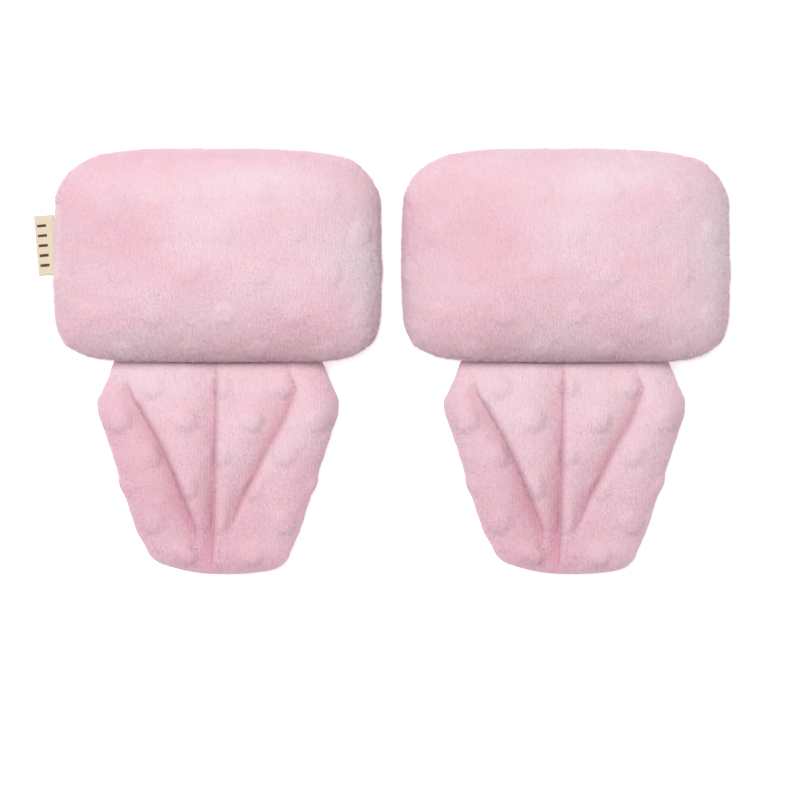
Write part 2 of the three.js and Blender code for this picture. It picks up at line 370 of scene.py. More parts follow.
def wadding_material():
    """White polyester wadding, matted and slightly cloudy."""
    material, tree, shader = new_material("wadding")
    point = object_point(tree)
    fibres = noise_value(tree, stretched(tree, point, (1, 2.2, 1)), 900, 4, 0.7)
    clouds = noise_value(tree, point, 90, 3, 0.5)
    shade = mix_colours(tree, 0.5, ramp(tree, clouds, [(0.3, 0.78), (0.7, 0.90)]),
                        ramp(tree, fibres, [(0.3, 0.74), (0.7, 0.93)]))
    set_node(tree, shader, Base_Color=shade, Normal=bump(tree, fibres, 0.8, 0.0008), Roughness=0.98,
             Sheen_Weight=0.3)
    return material


def woven_material(name, light, dark, pitch):
    """Plain woven tape, its threads a given number of metres apart and slightly uneven."""
    material, tree, shader = new_material(name)
    cloth = cloth_point(tree)
    weave = add_node(tree, "ShaderNodeMath", operation="MULTIPLY")
    for socket, direction in zip(weave.inputs, "XY"):
        tree.links.new(wave(tree, cloth, pitch, 0.4, direction), socket)
    slub = noise_value(tree, stretched(tree, cloth, (300, 1800, 300)), 1, 3, 0.6)
    shade = mix_colours(tree, 0.35, ramp(tree, weave.outputs[0], [(0.0, dark), (0.8, light)]),
                        ramp(tree, slub, [(0.3, dark), (0.7, light)]))
    set_node(tree, shader, Base_Color=shade, Normal=bump(tree, weave.outputs[0], 0.5, 0.0003),
             Roughness=0.85, Sheen_Weight=0.1)
    return material


def thread_material(name, colour):
    """Twisted sewing thread, with the twist as fine slanted bands."""
    material, tree, shader = new_material(name)
    twist = add_node(tree, "ShaderNodeTexWave", Vector=object_point(tree), Scale=900, Distortion=2,
                     Detail=1).outputs["Fac"]
    darker = tuple(0.72 * value for value in colour)
    set_node(tree, shader, Base_Color=ramp(tree, twist, [(0.0, darker), (0.7, colour)]),
             Normal=bump(tree, twist, 0.5, 0.0001), Roughness=0.55)
    return material


def plastic_hook_material():
    """Translucent nylon of the stiff hooks."""
    material, tree, shader = new_material("hook_nylon")
    tint = noise_value(tree, object_point(tree), 400, 2, 0.5)
    shade = ramp(tree, tint, [(0.3, (0.82, 0.66, 0.71)), (0.7, (0.90, 0.77, 0.81))])
    set_node(tree, shader, Base_Color=shade, Roughness=0.35)
    return material


PLUSH_CLOTH = plush_material("plush", 1.0, True)
# The pile's copy is 1.16 times lighter: painted light, making up for the shade among its fibres.
PILE_FIBRE = plush_material("plush_pile", 1.16, False)
LINING_CLOTH = lining_material()
WADDING = wadding_material()
HOOK_TAPE = woven_material("hook_tape_weave", (0.88, 0.74, 0.78), (0.70, 0.54, 0.60), 0.0005)
LOOP_TAPE = woven_material("loop_tape_weave", (0.90, 0.72, 0.77), (0.78, 0.56, 0.64), 0.0005)
LABEL_TAPE = woven_material("label_weave", (0.66, 0.58, 0.45), (0.50, 0.43, 0.32), 0.0006)
PINK_THREAD = thread_material("pink_thread", (0.84, 0.60, 0.67))
BROWN_THREAD = thread_material("brown_thread", (0.10, 0.035, 0.015))
HOOK_NYLON = plastic_hook_material()


# ---- Camera, light and floor ----
VIEW_CENTRE = np.array([73.0, -16.4, 0.0])  # what the camera looks down on, from the left support's origin
VIEW_WIDTH = 320.0
LENS = 200.0
SENSOR = 36.0
KEY_LIGHT = {"place": (-0.40, 0.48, 2.3), "size": 1.3, "watts": 72}  # metres
SURROUND = 0.33  # brightness of the white surround
FLOOR_SIZE = 12.0  # metres
FLOOR_DROP = 0.0002  # metres below the pieces, so that no faces coincide


def make_camera():
    data = bpy.data.cameras.new("camera")
    data.lens = LENS
    data.sensor_width = SENSOR
    camera = bpy.data.objects.new("camera", data)
    target = (ORIGIN["left"] + VIEW_CENTRE) * MM
    height = VIEW_WIDTH * MM * LENS / SENSOR
    camera.location = (target[0], target[1], height + SEAM_HEIGHT * MM)
    bpy.context.scene.collection.objects.link(camera)
    bpy.context.scene.camera = camera


def make_key_light():
    """A soft square light aimed at the middle of the pair."""
    data = bpy.data.lights.new("key", "AREA")
    data.size = KEY_LIGHT["size"]
    data.energy = KEY_LIGHT["watts"]
    light = bpy.data.objects.new("key", data)
    light.location = KEY_LIGHT["place"]
    light.rotation_euler = Vector(KEY_LIGHT["place"]).to_track_quat("Z", "Y").to_euler()
    bpy.context.scene.collection.objects.link(light)


def make_studio():
    """A pale floor, an even white surround and one soft light from the pillows' side and a little left."""
    half = FLOOR_SIZE / 2
    corners = [(x * half, y * half, -FLOOR_DROP) for x, y in ((-1, -1), (1, -1), (1, 1), (-1, 1))]
    material, tree, shader = new_material("floor")
    clouds = ramp(tree, noise_value(tree, object_point(tree), 40), [(0.4, 0.93), (0.6, 0.95)])
    set_node(tree, shader, Base_Color=clouds, Roughness=0.9, Emission_Color=(1, 1, 1, 1),
             Emission_Strength=0.5)
    floor = make_object("floor", corners, [(0, 1, 2, 3)], material, smooth=False)
    make_key_light()
    world = bpy.data.worlds.new("world")
    world.use_nodes = True
    set_node(world.node_tree, world.node_tree.nodes["Background"], Color=(1, 1, 1, 1),
             Strength=SURROUND)
    bpy.context.scene.world = world
    bpy.context.scene.view_settings.view_transform = "Standard"


# ---- Pillow ----
PILLOW_COLS = 181
PILLOW_ROWS = 121
SIM_COLS = 37
SIM_ROWS = 25
PUFF_CAP = 3.0  # the most that stuffing moves a point of the cover
PUFF_FRAMES = 20
# Patches of painted shading on the pillow, deeper painted shade above 0 and whiter painted light below: (x,
# y), (x size, y size), amount.
PAINTED_SHADING_PATCHES = [((-42, 48), (22, 22), 0.3), ((16, 71), (26, 6), -0.55), ((60, 38), (10, 26), -0.75),
               ((8, 48), (24, 14), -0.2), ((-20, 8), (30, 8), -0.15)]
BELLY = 1.3  # how far the stuffing bulges out over the lower seam
TILT_ROOM = 0.27  # slope of the back's lower edge, which leaves the cuff room when the pillow tips back


def crown_height(reach):
    return np.sqrt(np.clip(1 - reach ** CROWN, 0, 1))


def pillow_shape(cols, rows, front):
    """One side of the pillow as a grid of points, and the cloth's own flat coordinates at each point."""
    a, b = np.meshgrid(np.linspace(-1, 1, cols), np.linspace(-1, 1, rows))
    power = np.where(b > 0, HEAD_CORNER, CUFF_CORNER)
    norm = np.maximum((np.abs(a) ** power + np.abs(b) ** power) ** (1 / power), 1e-9)
    share = np.maximum(np.abs(a), np.abs(b))
    rise = PILLOW_RISE if front else PILLOW_DROP

    # Steps of equal arc from the middle to the seam, for a ray of middling length.
    swing = np.linspace(0, math.pi / 2, 400)
    ray = (PILLOW_HALF_WIDTH + PILLOW_HALF_DEPTH) / 2
    step_out, step_up = np.diff(np.sin(swing)) * ray, np.diff(crown_height(np.sin(swing))) * rise
    arc_table = np.concatenate([[0], np.hypot(step_out, step_up).cumsum()])
    angle = np.interp(share, arc_table / arc_table[-1], swing)
    reach = np.sin(angle)

    outline_x = PILLOW_HALF_WIDTH * a / norm
    outline_y = PILLOW_HALF_DEPTH * b / norm
    height = rise * crown_height(reach)
    z = SEAM_HEIGHT + height if front else np.maximum(0, SEAM_HEIGHT - height)
    surface = np.stack([outline_x * reach, PILLOW_HALF_DEPTH + outline_y * reach, z], axis=2)

    length = np.maximum(np.hypot(outline_x, outline_y), 1e-6)
    out = np.sin(np.linspace(0, 1, 33)[:, None, None] * angle[None])
    runs = np.hypot(np.diff(out, axis=0) * length, np.diff(crown_height(out), axis=0) * rise)
    arc = runs.sum(axis=0)
    flat = np.stack([outline_x / length * arc, outline_y / length * arc], axis=2)
    return surface, flat


def stuff_pillow():
    """Blows up a coarse closed pillow as cloth with its seam held, and returns how far each point of the
    front and the back moves, in millimetres."""
    front, _ = pillow_shape(SIM_COLS, SIM_ROWS, True)
    back, _ = pillow_shape(SIM_COLS, SIM_ROWS, False)
    count = SIM_COLS * SIM_ROWS
    rim = rim_of(SIM_ROWS, SIM_COLS)
    shared = np.arange(count) + count
    shared[rim] = rim
    quads = grid_faces(SIM_ROWS, SIM_COLS)
    faces = np.concatenate([quads, shared[quads][:, ::-1]])
    start = np.concatenate([front.reshape(-1, 3), back.reshape(-1, 3)])
    piece = make_object("stuffing_form", start * MM, faces, WADDING)
    seam = piece.vertex_groups.new(name="seam")
    seam.add(rim.tolist(), 1.0, "REPLACE")
    cloth = piece.modifiers.new("cloth", "CLOTH").settings
    cloth.use_pressure = True
    cloth.uniform_pressure_force = 4.0
    cloth.vertex_group_mass = "seam"
    cloth.tension_stiffness = 12
    cloth.compression_stiffness = 8
    cloth.bending_stiffness = 0.4
    cloth.effector_weights.gravity = 0
    scene = bpy.context.scene
    for step in range(1, PUFF_FRAMES + 1):
        scene.frame_set(step)
    graph = bpy.context.evaluated_depsgraph_get()
    blown = np.zeros(len(start) * 3, np.float32)
    piece.evaluated_get(graph).data.vertices.foreach_get("co", blown)
    moved = blown.reshape(-1, 3) / MM - start
    bpy.data.objects.remove(piece)
    scene.frame_set(1)
    length = np.linalg.norm(moved, axis=1, keepdims=True)
    moved *= PUFF_CAP / np.maximum(length, PUFF_CAP)
    moved[count:][rim] = 0
    return moved[:count].reshape(front.shape), moved[count:].reshape(back.shape)


def finer(field, rows, cols):
    """Spreads a coarse grid of vectors over a finer one, then evens out its steps."""
    row = np.linspace(0, field.shape[0] - 1, rows)
    col = np.linspace(0, field.shape[1] - 1, cols)
    r0 = np.minimum(row.astype(int), field.shape[0] - 2)
    c0 = np.minimum(col.astype(int), field.shape[1] - 2)
    rf, cf = (row - r0)[:, None, None], (col - c0)[None, :, None]
    low = field[r0][:, c0] * (1 - cf) + field[r0][:, c0 + 1] * cf
    high = field[r0 + 1][:, c0] * (1 - cf) + field[r0 + 1][:, c0 + 1] * cf
    fine = low * (1 - rf) + high * rf
    for _ in range(4):
        fine[1:-1, 1:-1] = (fine[:-2, 1:-1] + fine[2:, 1:-1] + fine[1:-1, :-2] + fine[1:-1, 2:]) / 4
    return fine


def pillow_cover(front, puff):
    """The fine outer surface of one side, with stuffing lumps, raised dots and the seam drawn in."""
    surface, flat = pillow_shape(PILLOW_COLS, PILLOW_ROWS, front)
    surface = surface + finer(puff, PILLOW_ROWS, PILLOW_COLS)
    normal = normals_of(surface) * (1 if front else -1)
    pattern = dot_pattern(flat[..., 0], flat[..., 1], PILLOW_DOTS)
    lumps = noise_at(surface, 30, 1)
    ripples = noise_at(surface * [1, 1.8, 1], 9, 2)
    tufts = noise_at(surface, 2.2, 3)
    a, b = np.meshgrid(np.linspace(-1, 1, PILLOW_COLS), np.linspace(-1, 1, PILLOW_ROWS))
    inside = 1 - np.maximum(np.abs(a), np.abs(b))
    seam_pull = -0.5 * (1 - smooth_step(inside, 0, 0.03))
    tuft_height = 0.12 + 0.2 * (1 - smooth_step(inside, 0.05, 0.25))
    lift = PILLOW_DOTS["height"] * pattern + 0.6 * lumps + 0.14 * ripples + tuft_height * tufts
    surface = surface + normal * (lift + seam_pull)[..., None]
    surface[..., 2] = np.maximum(surface[..., 2], 0.15)
    above = surface[..., 2] - SEAM_HEIGHT
    belly = smooth_step(above, -0.5, 1.5) * np.exp(-np.abs(above / 9) ** 3) * smooth_step(-b, 0.3, 0.9)
    surface[..., 1] -= BELLY * belly * smooth_step(1 - np.abs(a), 0, 0.25)
    surface[..., 1] = np.maximum(surface[..., 1], np.where(above < 0, -TILT_ROOM * above, -99))
    # Painted shade between the raised dots, growing towards the lower seam, and the patches of painted
    # shading.
    painted_shading = 0.12 * (1 - pattern) * smooth_step(-b, -0.2, 0.6)
    for middle, size, amount in PAINTED_SHADING_PATCHES:
        painted_shading = painted_shading + amount * np.exp(-(((surface[..., :2] - middle) / size) ** 2).sum(axis=2))
    return surface, flat, painted_shading


def make_pillow_side(name, front, cover):
    surface, flat, painted_shading = cover
    side = "front" if front else "back"
    faces = grid_faces(PILLOW_ROWS, PILLOW_COLS)[:, :: 1 if front else -1]
    piece = make_object(f"{name}_pillow_{side}", place(surface.reshape(-1, 3), name), faces, PLUSH_CLOTH,
                        flat.reshape(-1, 2) * MM, painted_shading.ravel())
    finish_shell(piece, PLUSH)
    fit_piece(piece, f"{name}_pillow", f"{name}_pillow_{side}_cover")
    bare = [BARE_SEAM] + ([BARE_LABEL] if name == "left" else [])
    add_pile(f"{name}_pillow_{side}_pile", name, surface, painted_shading, front, f"{name}_pillow", PILE_START, bare)


# ---- Cuff ----
BAND_COLS = 34  # grid columns across each of the four padded sections
CUFF_ROWS = 111
FRONT_EDGE = 14.2  # height of the front panel's widest line
FRONT_FULL = 20.6  # and of its padding's top
FRONT_HEM = PANEL_FLOOR - 0.1
FRONT_ROUND = (13, 10)  # radius of its rounding along the sides and at the end
BACK_EDGE = 2.9  # height of the back panel's widest line
LIP = 3.0  # width of the rounded edge where one section overlaps the next
LIP_LEAN = 0.08  # how far that edge leans over the crease, as a share of the crease's depth
EDGE_WAVE = 0.6  # the most that a tuft pushes the outline out
END_FALL = 3.0  # how much flatter the padding gets towards the end
# Small puckers at the top of the left pleat: (x, y), size, rise.
PUCKERS = [((-32.0, -16.5), 2.2, 0.9), ((-36.0, -12.5), 3.0, -1.2), ((-30.0, -11.0), 3.5, 0.5)]
HEM_INSET = 2.6
HEM_RINGS = 5


def half_width(y):
    """The cuff's half width, its corners softened, drawn in round the end corners."""
    past = np.clip(END_ROUND - (y - CUFF_END), 0, END_ROUND)
    return along_line(CUFF_SIDE, y) - (END_ROUND - np.sqrt(END_ROUND ** 2 - past ** 2))


def arched(x, y):
    """Curves the panel's end, so that it hangs lowest a little right of its middle, and lifts its top corners
    to meet the pillow."""
    share = np.abs(x - 3.4) / CUFF_SIDE[-1][1]
    corner = TOP_LIFT * np.abs(x / CUFF_SIDE[0][1]) ** 3 * smooth_step(y, -10, CUFF_TOP)
    return y + END_ARCH * share ** 2.2 * smooth_step(-y, 68, -CUFF_END) + corner


def along_line(line, y, soften=2.5):
    """A line given as (y, value) points, read at y with its corners softened."""
    heights, values = zip(*reversed(line))
    return np.mean([np.interp(y + step, heights, values) for step in np.linspace(-soften, soften, 7)], axis=0)


def cuff_plan():
    """The cuff's grid of plan points, its columns gathered along the creases, with each point's section
    (0 to 3) and its share across that section."""
    y = CUFF_TOP + (CUFF_END - CUFF_TOP) * eased(CUFF_ROWS)[::-1]
    lines = [-half_width(y), *(along_line(line, y) for line in CREASES), half_width(y)]
    share = eased(BAND_COLS + 1, 0.7)
    x, section, across = [], [], []
    for index in range(4):
        used = share if index == 3 else share[:-1]
        x.append(lines[index][:, None] * (1 - used) + lines[index + 1][:, None] * used)
        section.append(np.full((CUFF_ROWS, len(used)), index))
        across.append(np.tile(used, (CUFF_ROWS, 1)))
    x, section, across = (np.concatenate(parts, axis=1) for parts in (x, section, across))
    return x, np.tile(y[:, None], (1, x.shape[1])), section, across


def quarter(distance, radius):
    """A quarter circle's height, from 0 at no distance to 1 at its radius and beyond."""
    return np.sqrt(1 - (1 - np.clip(distance / radius, 0, 1)) ** 2)


def edge_round(x, y, side_radius, end_radius):
    """1 inside the panel, falling to 0 along its sides and end."""
    slant = 0.95  # cosine of the sides' slant
    sides = quarter((half_width(y) - np.abs(x)) * slant, side_radius)
    return sides * quarter(y - CUFF_END, end_radius)


def pleated_top():
    """The front panel's upper surface. Each section overlaps the one on its left along a crease."""
    x, y, section, across = cuff_plan()
    height = np.zeros(x.shape)
    lean = np.zeros(x.shape)
    calm = np.ones(x.shape)
    # Painted shading: painted shade deepening towards the cuff's end, mostly on its left.
    painted_shading = 0.5 * smooth_step(-y, 34, 84) * smooth_step(-x, -60, 10)
    # Painted shade on the outer sections while their pleats are open, more on the left one; whiter painted
    # light just below the pillow, where it casts shade, and a thin line of deeper painted shade along the
    # pillow's edge.
    bands = np.interp(section + across, [0.0, 0.9, 1.1, 2.9, 3.1, 4.0], [0.22, 0.22, 0.0, 0.0, 0.08, 0.08])
    apart = 1 - smooth_step(-y, 58, 76)  # 1 where the outer pleats are open, 0 where they have run out
    painted_shading += bands * apart - 0.5 * np.exp((y + 2) / 7) + 0.9 * np.exp((y + 2) / 1.5)
    for line, depths in zip(CREASES, CREASE_DEPTHS):
        slant = np.cos(np.arctan(np.gradient(along_line(line, y[:, 0]), y[:, 0])))[:, None]
        gap = (x - along_line(line, y)) * slant
        depth = along_line(depths, y, 4)
        left = depth * np.exp(-np.abs(gap / 6.5) ** 1.15)
        right = depth * (1 - quarter(gap, LIP))
        height -= np.where(gap < 0, left, right)
        height += 0.16 * depth * np.exp(-((gap - 4) / 5) ** 2) * smooth_step(gap, 0, LIP)
        lip = np.clip(gap / LIP, 0, 1)
        lean -= LIP_LEAN * depth * 4 * lip * (1 - lip)
        calm *= 1 - smooth_step(depth, 0, 0.8) * np.exp(-(gap / 2.2) ** 2)
        # Painted shade along each crease, wide on its left, narrow on its right.
        painted_shading += 0.22 * depth * np.exp(-np.abs(gap) / np.where(gap < 0, 4.5, 1.2))
    height += np.sin(math.pi * across) * smooth_step(-y, 5, 22) * apart
    height -= END_FALL * smooth_step(-y, 20, 110)
    for where, size, rise in PUCKERS:
        height += rise * np.exp(-((x - where[0]) ** 2 + (y - where[1]) ** 2) / size ** 2)
    full = FRONT_FULL - FRONT_EDGE + height
    shoulder = 0.85 + 0.15 * smooth_step(CUFF_TOP - y, -2, 13)
    z = FRONT_EDGE + full * edge_round(x, y, *FRONT_ROUND) * shoulder
    pattern = dot_pattern(x, y, CUFF_DOTS)
    surface = np.stack([x + lean, arched(x, y), z], axis=2)
    outline = 1 - smooth_step(edge_round(x, y, *FRONT_ROUND), 0.2, 0.8)
    waves = np.clip(0.5 + noise_at(surface * [0.3, 1, 0], 4.5, 7), 0, 1)
    surface[..., 0] += EDGE_WAVE * np.sign(x) * outline * waves * smooth_step(CUFF_TOP - y, 0, 8)
    lumps = noise_at(surface, 16, 4)
    ripples = noise_at(surface * [1, 1.6, 1], 7, 5)
    tufts = noise_at(surface, 2.2, 6)
    lift = CUFF_DOTS["height"] * pattern + 0.6 * lumps + 0.18 * ripples + 0.12 * tufts
    lift *= calm * smooth_step(edge_round(x, y, 6, 6) * quarter(CUFF_TOP - y, 1), 0, 0.3)
    return surface + normals_of(surface) * lift[..., None], x, y, np.clip(painted_shading, -1, 1)


def flat_bottom():
    """The back panel's lower surface, which rests on the table."""
    x, y, _, _ = cuff_plan()
    z = BACK_EDGE - (BACK_EDGE - 0.2) * edge_round(x, y, 4, 4) * quarter(CUFF_TOP - y, 3)
    # An even painted shade of 0.3 over the back panel.
    return np.stack([x, arched(x, y), z], axis=2), x, y, np.full(x.shape, 0.3)


def cuff_shell(surface, hem_height):
    """Carries a panel's surface round its edge and under to a hem, as one open sheet of points and faces."""
    rows, cols = surface.shape[:2]
    points = [surface.reshape(-1, 3)]
    faces = [grid_faces(rows, cols)]
    rim = rim_of(rows, cols)
    edge = points[0][rim]
    last = rim
    count = rows * cols
    for ring in range(1, HEM_RINGS + 1):
        turn = math.pi / 2 * ring / HEM_RINGS
        loop = drawn_in(edge, HEM_INSET * (1 - math.cos(turn)))
        loop[:, 2] = edge[:, 2] + (hem_height - edge[:, 2]) * math.sin(turn)
        points.append(loop)
        number = count + np.arange(len(rim))
        faces.append(ring_faces(last, number))
        last = number
        count += len(rim)
    return np.concatenate(points), np.concatenate(faces)


def drawn_in(loop, inset):
    """A panel's edge shrunk in plan towards its middle, so that its corners keep their shape."""
    middle = np.array([0, (CUFF_TOP + CUFF_END) / 2, 0])
    half = np.array([CUFF_SIDE[0][1], (CUFF_TOP - CUFF_END) / 2, 1])
    shrink = 1 - np.array([inset, inset, 0]) / half
    return middle + (loop - middle) * shrink


def make_cuff_cover(name, side, made, hem_height):
    surface, x, y, painted_shading = made
    points, faces = cuff_shell(surface, hem_height)
    extra = len(points) - x.size
    flat = np.concatenate([np.stack([x.ravel(), y.ravel()], axis=1), points[-extra:, :2]])
    # The rounded edge and hem get an even painted shade of 0.5.
    painted_shading = np.concatenate([painted_shading.ravel(), np.full(extra, 0.5)])
    front = side == "front"
    piece = make_object(f"{name}_cuff_{side}", place(points, name), faces[:, :: 1 if front else -1],
                        PLUSH_CLOTH, flat * MM, painted_shading)
    finish_shell(piece, PLUSH)
    body = f"{name}_front_panel" if front else f"{name}_cuff"
    fit_piece(piece, body, f"{name}_cuff_{side}_cover")
    lowest = FRONT_EDGE + PILE_START if front else PILE_START
    add_pile(f"{name}_cuff_{side}_pile", name, surface, painted_shading[:x.size], front, body, lowest, [BARE_NECK])


# ---- Pile ----
PILE_DENSITY = 2.6e6  # fibres to a square metre
PILE_LENGTH = 1.1
PILE_ROOT = 0.065  # radius of a fibre at its root
PILE_LEAN = 0.6  # how far the pile is combed towards the cuff, in radians
PILE_SPREAD = 0.45
PILE_START = 2.2  # height above the table or the panel's edge from which pile stands
# Boxes without pile, where other pieces lie against the cover: round the label's root, behind the pillow's
# lower seam, and along the cuff's top edge.
BARE_LABEL = [(-70, 32, 14), (-58, 62, 30)]
BARE_SEAM = [(-44, -5, 0), (44, 8, SEAM_HEIGHT)]
BARE_NECK = [(-42, -2.4, 0), (42, 0, 30)]


def add_pile(name, support, surface, painted_shading, front, body, lowest, bare):
    """Short tapered fibres standing on the outside of a cover above a lowest height, combed one way."""
    keep = grid_faces(*surface.shape[:2])
    points = surface.reshape(-1, 3)
    keep = keep[points[keep][..., 2].min(axis=1) > lowest]
    for low_corner, high_corner in bare:
        middles = points[keep].mean(axis=1)
        keep = keep[~np.all((middles > low_corner) & (middles < high_corner), axis=1)]
    inputs = {"Density": PILE_DENSITY, "Length": PILE_LENGTH * MM, "Root": PILE_ROOT * MM,
              "Material": PILE_FIBRE}
    # The pile carries the cover's painted shading.
    ground = make_object(name, place(points, support), keep[:, :: 1 if front else -1], PILE_FIBRE,
                         painted_shading=painted_shading.ravel())
    tree, given = geometry_tree("pile", inputs)
    spread = add_node(tree, "GeometryNodeDistributePointsOnFaces", Mesh=given["Geometry"],
                      Density=given["Density"], Seed=17)
    fibre = add_node(tree, "GeometryNodeMeshCone", Vertices=3, fill_type="NONE", Radius_Top=0.0,
                     Depth=given["Length"], Radius_Bottom=given["Root"])
    turn = random_vector(tree, (PILE_LEAN, 0, 0), (PILE_SPREAD, PILE_SPREAD, PILE_SPREAD), 18)
    comb = add_node(tree, "FunctionNodeRotateRotation", rotation_space="GLOBAL",
                    Rotation=spread.outputs["Rotation"], Rotate_By=turn)
    run_tree(ground, tree, inputs, spread.outputs["Points"], fibre.outputs["Mesh"], comb.outputs[0])
    fit_piece(ground, body)


# ---- Inside the covers ----
WADDING_INSET = 3.4


def make_slab(name, support, top, bottom, material):
    """A closed solid between two grids of points of the same shape, the first above the second."""
    rows, cols = top.shape[:2]
    count = rows * cols
    rim = rim_of(rows, cols)
    up = grid_faces(rows, cols)
    faces = np.concatenate([up, up[:, ::-1] + count, ring_faces(rim, rim + count)])
    points = np.concatenate([top.reshape(-1, 3), bottom.reshape(-1, 3)])
    return make_object(name, place(points, support), faces, material, points[:, :2] * MM)


def make_pillow_wadding(name):
    """The pillow's filling, a little inside both covers, matted into soft lumps."""
    sides = []
    for front in (True, False):
        surface, _ = pillow_shape(73, 49, front)
        surface = surface - normals_of(surface) * (1 if front else -1) * (PLUSH + 1.2)
        lumps = noise_at(surface, 11, 8)
        surface[..., 2] += 0.5 * lumps if front else 0.3 * np.abs(lumps)
        lowest, highest = (SEAM_HEIGHT + 0.4, PILLOW_HIGH[2]) if front else (PLUSH + 0.6, SEAM_HEIGHT - 0.4)
        surface[..., 2] = np.clip(surface[..., 2], lowest, highest)
        sides.append(surface)
    piece = make_slab(f"{name}_pillow_wadding", name, sides[0], sides[1], WADDING)
    fit_piece(piece, f"{name}_pillow", f"{name}_pillow_filling")


def squeezed(x, y):
    """Narrows each row of a wedge of wadding, so that it stays inside the hem along the cuff's sides."""
    limit = half_width(y) - WADDING_INSET
    left = np.maximum(x[:, :1], -limit[:, :1])
    right = np.minimum(x[:, -1:], limit[:, -1:])
    share = (x - x[:, :1]) / (x[:, -1:] - x[:, :1])
    return left + share * np.maximum(right - left, 0.5)


def make_front_wadding(name, surface):
    """Four wedges of wadding, one under each section of the pleated cover."""
    for index in range(4):
        columns = slice(index * BAND_COLS + 5, (index + 1) * BAND_COLS - 4)
        top = surface[8:-8, columns].copy()
        top[..., 0] = squeezed(top[..., 0], top[..., 1])
        floor = PANEL_FLOOR + 0.4
        top[..., 2] = np.maximum(top[..., 2] - PLUSH - 1.0, floor + 0.6)
        top[..., 2] += 0.25 * noise_at(top, 4, 9)
        bottom = top.copy()
        bottom[..., 2] = floor
        piece = make_slab(f"{name}_cuff_front_wadding_{index + 1}", name, top, bottom, WADDING)
        fit_piece(piece, f"{name}_front_panel", f"{name}_cuff_front_padding_{index + 1}")


def panel_grid(inset, count):
    """A plan grid of the whole cuff panel, its edge moved inwards, and the same with no height."""
    y = CUFF_TOP - inset + (CUFF_END - CUFF_TOP + 2 * inset) * eased(count)[::-1]
    side = half_width(np.clip(y, CUFF_END + 0.01, CUFF_TOP)) - inset
    x = side[:, None] * (2 * eased(count) - 1)
    y = arched(x, np.tile(y[:, None], (1, count)))
    return x, y, np.stack([x, y, np.zeros(x.shape)], axis=2)


def make_back_wadding(name):
    x, y, plan = panel_grid(WADDING_INSET, 61)
    top = np.stack([x, y, BACK_TOP - 0.4 + 0.15 * noise_at(plan, 6, 10)], axis=2)
    bottom = plan + [0, 0, PLUSH + 0.5]
    piece = make_slab(f"{name}_cuff_back_wadding", name, top, bottom, WADDING)
    fit_piece(piece, f"{name}_cuff", f"{name}_cuff_back_padding")


# ---- Linings and closing tapes ----
LINING_INSET = 1.3
LINING_CLOTH_THICKNESS = 0.45


def make_lining(name, side, body):
    """One panel's smooth lining, faintly puckered where it is sewn to the plush."""
    high = box_of(f"{name}_cuff_{side}_lining")[1]
    x, y, plan = panel_grid(LINING_INSET, 81)
    edge = 1 - smooth_step(edge_round(x, y, 12, 12), 0.2, 0.9)
    ripple = noise_at(plan * [1, 0.6, 1], 3.5, 11) * (0.03 + 0.10 * edge)
    top = np.stack([x, y, high[2] - 0.08 + ripple], axis=2)
    bottom = top - [0, 0, LINING_CLOTH_THICKNESS]
    piece = make_slab(f"{name}_cuff_{side}_lining_cloth", name, top, bottom, LINING_CLOTH)
    fit_piece(piece, body, f"{name}_cuff_{side}_lining")


class Strip:
    """A flat CAD strip's middle, directions and size in plan, read from its mesh, and its heights."""

    def __init__(self, node):
        points = np.unique(np.round(vertices_of(node), 6), axis=0) / MM
        self.bottom, self.top = points[:, 2].min(), points[:, 2].max()
        plan = points[:, :2]
        self.middle = plan.mean(axis=0)
        _, _, axes = np.linalg.svd(plan - self.middle, full_matrices=False)
        self.along = axes[0] * np.sign(axes[0][1])
        self.across = np.array([self.along[1], -self.along[0]])
        self.length, self.width = (2 * np.abs((plan - self.middle) @ axis).max()
                                   for axis in (self.along, self.across))

    def at(self, across, along, z):
        """Points of the strip in metres in the frame, from millimetres across and along it."""
        plan = self.middle + np.multiply.outer(across, self.across) + np.multiply.outer(along, self.along)
        return np.concatenate([plan, np.broadcast_to(z, plan.shape[:-1])[..., None]], axis=-1) * MM


TAPE_BASE = 0.6  # thickness of a tape's woven base
TAPE_CORNER = 2.0
TAPE_MARGIN = 2.0  # width round a tape that bears no hooks or loops
STITCH_INSET = 1.1  # from a tape's edge to its line of stitches
STITCH = 2.1  # length of one stitch
STITCH_GAP = 0.5
THREAD = 0.38
HOOK_SPACING = 1.45
HOOK_WIRE = 0.11  # radius
LOOP_SPACING = 0.95
LOOP_WIRE = 0.07


def tape_outline(strip, inset=0.0):
    """A rounded rectangle round the strip as (across, along) points."""
    points = []
    half_across, half_along = strip.width / 2 - inset, strip.length / 2 - inset
    radius = max(TAPE_CORNER - inset, 0.4)
    for turn, corner in enumerate([(1, 1), (-1, 1), (-1, -1), (1, -1)]):
        centre = np.array([half_across - radius, half_along - radius]) * corner
        for step in range(7):
            angle = math.pi / 2 * (turn + step / 6)
            points.append(centre + radius * np.array([math.cos(angle), math.sin(angle)]))
    return np.array(points)


def make_tape(name, strip, bottom, material):
    """The woven base of a closing tape: a flat strip with rounded corners and softened edges."""
    levels = [(0.5, 0.0), (0.0, 0.12), (0.0, TAPE_BASE - 0.12), (0.25, TAPE_BASE)]
    loops = [tape_outline(strip, inset) for inset, _ in levels]
    count = len(loops[0])
    points = [strip.at(loop[:, 0], loop[:, 1], bottom + z) for loop, (_, z) in zip(loops, levels)]
    rings = np.arange(len(levels) * count).reshape(-1, count)
    faces = [quad for low, high in zip(rings, rings[1:]) for quad in ring_faces(low, high)[:, ::-1]]
    faces += [rings[0][::-1], rings[-1]]
    flat = np.concatenate(loops) * MM
    return make_object(name, np.concatenate(points), faces, material, flat, smooth=False)


